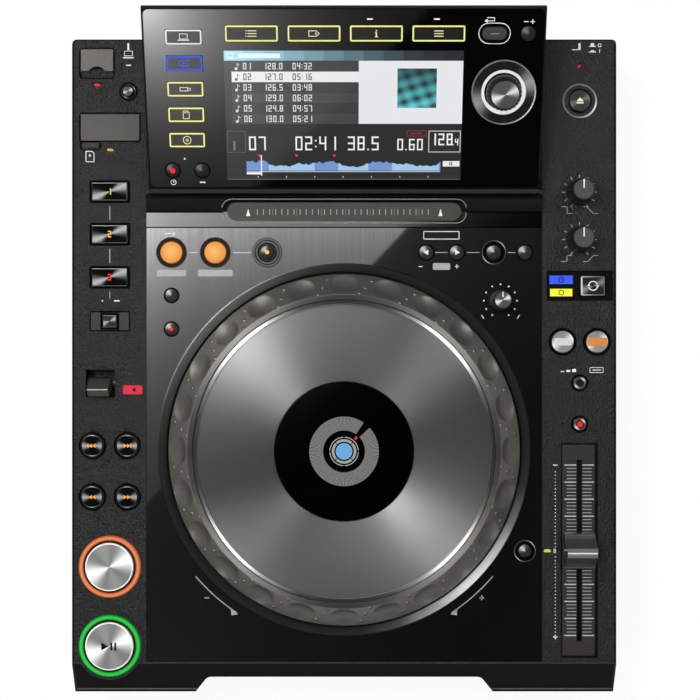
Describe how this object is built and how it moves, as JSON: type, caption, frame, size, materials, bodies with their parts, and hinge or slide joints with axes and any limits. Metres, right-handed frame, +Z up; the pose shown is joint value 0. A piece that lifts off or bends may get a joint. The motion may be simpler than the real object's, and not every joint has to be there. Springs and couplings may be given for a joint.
{
  "type": "tabletop disc and media player",
  "caption": "Tabletop DJ disc player: wedge display, large jog wheel, lit transport buttons and a long tempo fader on a flat deck.",
  "frame": {"origin": "on the table, under the middle of the footprint", "axes": "+X to the user's right, +Y from the user to the rear panel, +Z up"},
  "size_m": [0.3196, 0.4058, 0.1069],
  "materials": {
    "case_plastic": "finely grained moulded plastic",
    "deck_sheet": "brushed sheet, anodised black",
    "gloss_black": "polished moulded plastic",
    "display_face": "polished black window",
    "screen_module": "module frame",
    "pad_plastic": "satin touch pad",
    "base_steel": "black painted sheet steel",
    "foot_rubber": "rubber",
    "light_plastic": "light guide",
    "board": "circuit board",
    "drive_steel": "plain steel",
    "socket_metal": "plated",
    "dial_plastic": "warm grey satin moulding",
    "spun_metal": "turned, circular grain",
    "key_black": "moulded key top",
    "key_metal": "turned cap",
    "door_plastic": "smoked moulding",
    "knob_plastic": "moulded",
    "amber_lens": "lit lens"
  },
  "bodies": {
    "base": {"upper_case": "case_plastic", "deck_panel": "deck_sheet", "front_panel": "case_plastic", "bottom_plate": "base_steel", "rubber_feet": "foot_rubber", "display_housing": "gloss_black", "display_glass": "display_face", "lcd_module": "screen_module", "needle_pad": "pad_plastic", "jog_well": "gloss_black", "jog_display": "display_face", "light_guides": "light_plastic", "fader_plate": "gloss_black", "main_board": "board", "drive_unit": "drive_steel", "sockets": "socket_metal"},
    "jog_ring": {"jog_ring": "dial_plastic"},
    "jog_plate": {"jog_plate": "spun_metal"},
    "cue_button": {"cue_button": "spun_metal"},
    "play_button": {"play_button": "spun_metal"},
    "selector_knob": {"selector_knob": "key_black"},
    "selector_shaft": {"selector_shaft": "drive_steel"},
    "source_keys": {"source_keys": "key_black"},
    "browse_keys": {"browse_keys": "key_black"},
    "display_keys": {"display_keys": "key_black"},
    "back_key": {"back_key": "key_black"},
    "tag_key": {"tag_key": "key_black"},
    "usb_door": {"usb_door": "door_plastic"},
    "sd_door": {"sd_door": "door_plastic"},
    "usb_stop_key": {"usb_stop_key": "key_metal"},
    "hot_cue_1": {"hot_cue_1": "key_metal"},
    "hot_cue_2": {"hot_cue_2": "key_metal"},
    "hot_cue_3": {"hot_cue_3": "key_metal"},
    "rec_key": {"rec_key": "key_black"},
    "direction_lever": {"direction_lever": "key_black"},
    "track_back_key": {"track_back_key": "key_metal"},
    "track_next_key": {"track_next_key": "key_metal"},
    "search_back_key": {"search_back_key": "key_metal"},
    "search_next_key": {"search_next_key": "key_metal"},
    "eject_button": {"eject_button": "key_metal"},
    "brake_knob": {"brake_knob": "knob_plastic"},
    "start_knob": {"start_knob": "knob_plastic"},
    "jog_mode_key": {"jog_mode_key": "key_metal"},
    "sync_key": {"sync_key": "key_metal"},
    "master_key": {"master_key": "key_metal"},
    "tempo_range_key": {"tempo_range_key": "key_black"},
    "master_tempo_key": {"master_tempo_key": "key_black"},
    "tempo_slider": {"tempo_slider": "knob_plastic"},
    "power_button": {"power_button": "key_black"},
    "loop_in_key": {"loop_in_key": "amber_lens"},
    "loop_out_key": {"loop_out_key": "amber_lens"},
    "reloop_key": {"reloop_key": "key_black"},
    "loop_mode_key": {"loop_mode_key": "key_black"},
    "slip_key": {"slip_key": "key_black"},
    "call_back_key": {"call_back_key": "key_black"},
    "call_next_key": {"call_next_key": "key_black"},
    "delete_key": {"delete_key": "key_black"},
    "memory_key": {"memory_key": "key_black"},
    "jog_adjust_knob": {"jog_adjust_knob": "knob_plastic"},
    "tempo_reset_key": {"tempo_reset_key": "key_black"}
  },
  "joints": [
    {"name": "jog_turn", "type": "hinge", "parent": "base", "child": "jog_ring", "pos_m": [0, -0.05855, 0.064], "axis": [0, 0, 1], "continuous": true},
    {"name": "jog_plate_press", "type": "slide", "parent": "jog_ring", "child": "jog_plate", "axis": [0, 0, -1], "range_m": [0, 0.0004], "stiffness_N_per_m": 6000, "springref_m": -0.0005},
    {"name": "tempo_slide", "type": "slide", "parent": "base", "child": "tempo_slider", "axis": [0, -1, 0], "range_m": [-0.05, 0.05]},
    {"name": "direction_flip", "type": "hinge", "parent": "base", "child": "direction_lever", "pos_m": [-0.14305, -0.01955, 0.057], "axis": [-1, 0, 0], "range_deg": [0, 20]},
    {"name": "usb_door_lift", "type": "hinge", "parent": "base", "child": "usb_door", "pos_m": [-0.14505, 0.176, 0.0632], "axis": [-1, 0, 0], "range_deg": [0, 95]},
    {"name": "sd_door_lift", "type": "hinge", "parent": "base", "child": "sd_door", "pos_m": [-0.1374, 0.1379, 0.0632], "axis": [-1, 0, 0], "range_deg": [0, 95]},
    {"name": "selector_shaft_press", "type": "slide", "parent": "base", "child": "selector_shaft", "axis": [0, 0.3305, -0.9438], "range_m": [0, 0.001], "stiffness_N_per_m": 400, "springref_m": -0.001},
    {"name": "selector_turn", "type": "hinge", "parent": "selector_shaft", "child": "selector_knob", "pos_m": [0.0906, 0.14652, 0.09114], "axis": [0, -0.3305, 0.9438], "continuous": true},
    {"name": "brake_knob_turn", "type": "hinge", "parent": "base", "child": "brake_knob", "pos_m": [0.1381, 0.0926, 0.07], "axis": [0, 0, -1], "range_deg": [-150, 150]},
    {"name": "start_knob_turn", "type": "hinge", "parent": "base", "child": "start_knob", "pos_m": [0.1381, 0.0648, 0.07], "axis": [0, 0, -1], "range_deg": [-150, 150]},
    {"name": "jog_adjust_knob_turn", "type": "hinge", "parent": "base", "child": "jog_adjust_knob", "pos_m": [0.0917, 0.0289, 0.07], "axis": [0, 0, -1], "range_deg": [-150, 150]},
    {"name": "power_press", "type": "slide", "parent": "base", "child": "power_button", "axis": [0, -1, 0], "range_m": [0, 0.002], "stiffness_N_per_m": 300, "springref_m": -0.002},
    {"name": "cue_button_press", "type": "slide", "parent": "base", "child": "cue_button", "axis": [0, 0, -1], "range_m": [0, 0.001], "stiffness_N_per_m": 600, "springref_m": -0.001},
    {"name": "play_button_press", "type": "slide", "parent": "base", "child": "play_button", "axis": [0, 0, -1], "range_m": [0, 0.001], "stiffness_N_per_m": 600, "springref_m": -0.001},
    {"name": "source_keys_press", "type": "slide", "parent": "base", "child": "source_keys", "axis": [0, 0.3305, -0.9438], "range_m": [0, 0.001], "stiffness_N_per_m": 400, "springref_m": -0.001},
    {"name": "browse_keys_press", "type": "slide", "parent": "base", "child": "browse_keys", "axis": [0, 0.3305, -0.9438], "range_m": [0, 0.001], "stiffness_N_per_m": 400, "springref_m": -0.001},
    {"name": "display_keys_press", "type": "slide", "parent": "base", "child": "display_keys", "axis": [0, 0.3305, -0.9438], "range_m": [0, 0.001], "stiffness_N_per_m": 400, "springref_m": -0.001},
    {"name": "back_key_press", "type": "slide", "parent": "base", "child": "back_key", "axis": [0, 0.3305, -0.9438], "range_m": [0, 0.001], "stiffness_N_per_m": 400, "springref_m": -0.001},
    {"name": "tag_key_press", "type": "slide", "parent": "base", "child": "tag_key", "axis": [0, 0.3305, -0.9438], "range_m": [0, 0.001], "stiffness_N_per_m": 400, "springref_m": -0.001},
    {"name": "usb_stop_key_press", "type": "slide", "parent": "base", "child": "usb_stop_key", "axis": [0, 0, -1], "range_m": [0, 0.001], "stiffness_N_per_m": 400, "springref_m": -0.001},
    {"name": "track_back_key_press", "type": "slide", "parent": "base", "child": "track_back_key", "axis": [0, 0, -1], "range_m": [0, 0.001], "stiffness_N_per_m": 400, "springref_m": -0.001},
    {"name": "track_next_key_press", "type": "slide", "parent": "base", "child": "track_next_key", "axis": [0, 0, -1], "range_m": [0, 0.001], "stiffness_N_per_m": 400, "springref_m": -0.001},
    {"name": "search_back_key_press", "type": "slide", "parent": "base", "child": "search_back_key", "axis": [0, 0, -1], "range_m": [0, 0.001], "stiffness_N_per_m": 400, "springref_m": -0.001},
    {"name": "search_next_key_press", "type": "slide", "parent": "base", "child": "search_next_key", "axis": [0, 0, -1], "range_m": [0, 0.001], "stiffness_N_per_m": 400, "springref_m": -0.001},
    {"name": "eject_button_press", "type": "slide", "parent": "base", "child": "eject_button", "axis": [0, 0, -1], "range_m": [0, 0.001], "stiffness_N_per_m": 400, "springref_m": -0.001},
    {"name": "sync_key_press", "type": "slide", "parent": "base", "child": "sync_key", "axis": [0, 0, -1], "range_m": [0, 0.001], "stiffness_N_per_m": 400, "springref_m": -0.001},
    {"name": "master_key_press", "type": "slide", "parent": "base", "child": "master_key", "axis": [0, 0, -1], "range_m": [0, 0.001], "stiffness_N_per_m": 400, "springref_m": -0.001},
    {"name": "tempo_range_key_press", "type": "slide", "parent": "base", "child": "tempo_range_key", "axis": [0, 0, -1], "range_m": [0, 0.001], "stiffness_N_per_m": 400, "springref_m": -0.001},
    {"name": "master_tempo_key_press", "type": "slide", "parent": "base", "child": "master_tempo_key", "axis": [0, 0, -1], "range_m": [0, 0.001], "stiffness_N_per_m": 400, "springref_m": -0.001},
    {"name": "loop_in_key_press", "type": "slide", "parent": "base", "child": "loop_in_key", "axis": [0, 0, -1], "range_m": [0, 0.001], "stiffness_N_per_m": 400, "springref_m": -0.001},
    {"name": "loop_out_key_press", "type": "slide", "parent": "base", "child": "loop_out_key", "axis": [0, 0, -1], "range_m": [0, 0.001], "stiffness_N_per_m": 400, "springref_m": -0.001},
    {"name": "reloop_key_press", "type": "slide", "parent": "base", "child": "reloop_key", "axis": [0, 0, -1], "range_m": [0, 0.001], "stiffness_N_per_m": 400, "springref_m": -0.001},
    {"name": "loop_mode_key_press", "type": "slide", "parent": "base", "child": "loop_mode_key", "axis": [0, 0, -1], "range_m": [0, 0.001], "stiffness_N_per_m": 400, "springref_m": -0.001},
    {"name": "slip_key_press", "type": "slide", "parent": "base", "child": "slip_key", "axis": [0, 0, -1], "range_m": [0, 0.001], "stiffness_N_per_m": 400, "springref_m": -0.001},
    {"name": "call_back_key_press", "type": "slide", "parent": "base", "child": "call_back_key", "axis": [0, 0, -1], "range_m": [0, 0.001], "stiffness_N_per_m": 400, "springref_m": -0.001},
    {"name": "call_next_key_press", "type": "slide", "parent": "base", "child": "call_next_key", "axis": [0, 0, -1], "range_m": [0, 0.001], "stiffness_N_per_m": 400, "springref_m": -0.001},
    {"name": "delete_key_press", "type": "slide", "parent": "base", "child": "delete_key", "axis": [0, 0, -1], "range_m": [0, 0.001], "stiffness_N_per_m": 400, "springref_m": -0.001},
    {"name": "memory_key_press", "type": "slide", "parent": "base", "child": "memory_key", "axis": [0, 0, -1], "range_m": [0, 0.001], "stiffness_N_per_m": 400, "springref_m": -0.001},
    {"name": "tempo_reset_key_press", "type": "slide", "parent": "base", "child": "tempo_reset_key", "axis": [0, 0, -1], "range_m": [0, 0.001], "stiffness_N_per_m": 400, "springref_m": -0.001},
    {"name": "rec_key_press", "type": "slide", "parent": "base", "child": "rec_key", "axis": [0, 0, -1], "range_m": [0, 0.001], "stiffness_N_per_m": 400, "springref_m": -0.001},
    {"name": "jog_mode_key_press", "type": "slide", "parent": "base", "child": "jog_mode_key", "axis": [0, 0, -1], "range_m": [0, 0.001], "stiffness_N_per_m": 400, "springref_m": -0.001},
    {"name": "hot_cue_1_press", "type": "slide", "parent": "base", "child": "hot_cue_1", "axis": [0, 0, -1], "range_m": [0, 0.001], "stiffness_N_per_m": 400, "springref_m": -0.001},
    {"name": "hot_cue_2_press", "type": "slide", "parent": "base", "child": "hot_cue_2", "axis": [0, 0, -1], "range_m": [0, 0.001], "stiffness_N_per_m": 400, "springref_m": -0.001},
    {"name": "hot_cue_3_press", "type": "slide", "parent": "base", "child": "hot_cue_3", "axis": [0, 0, -1], "range_m": [0, 0.001], "stiffness_N_per_m": 400, "springref_m": -0.001}
  ]
}
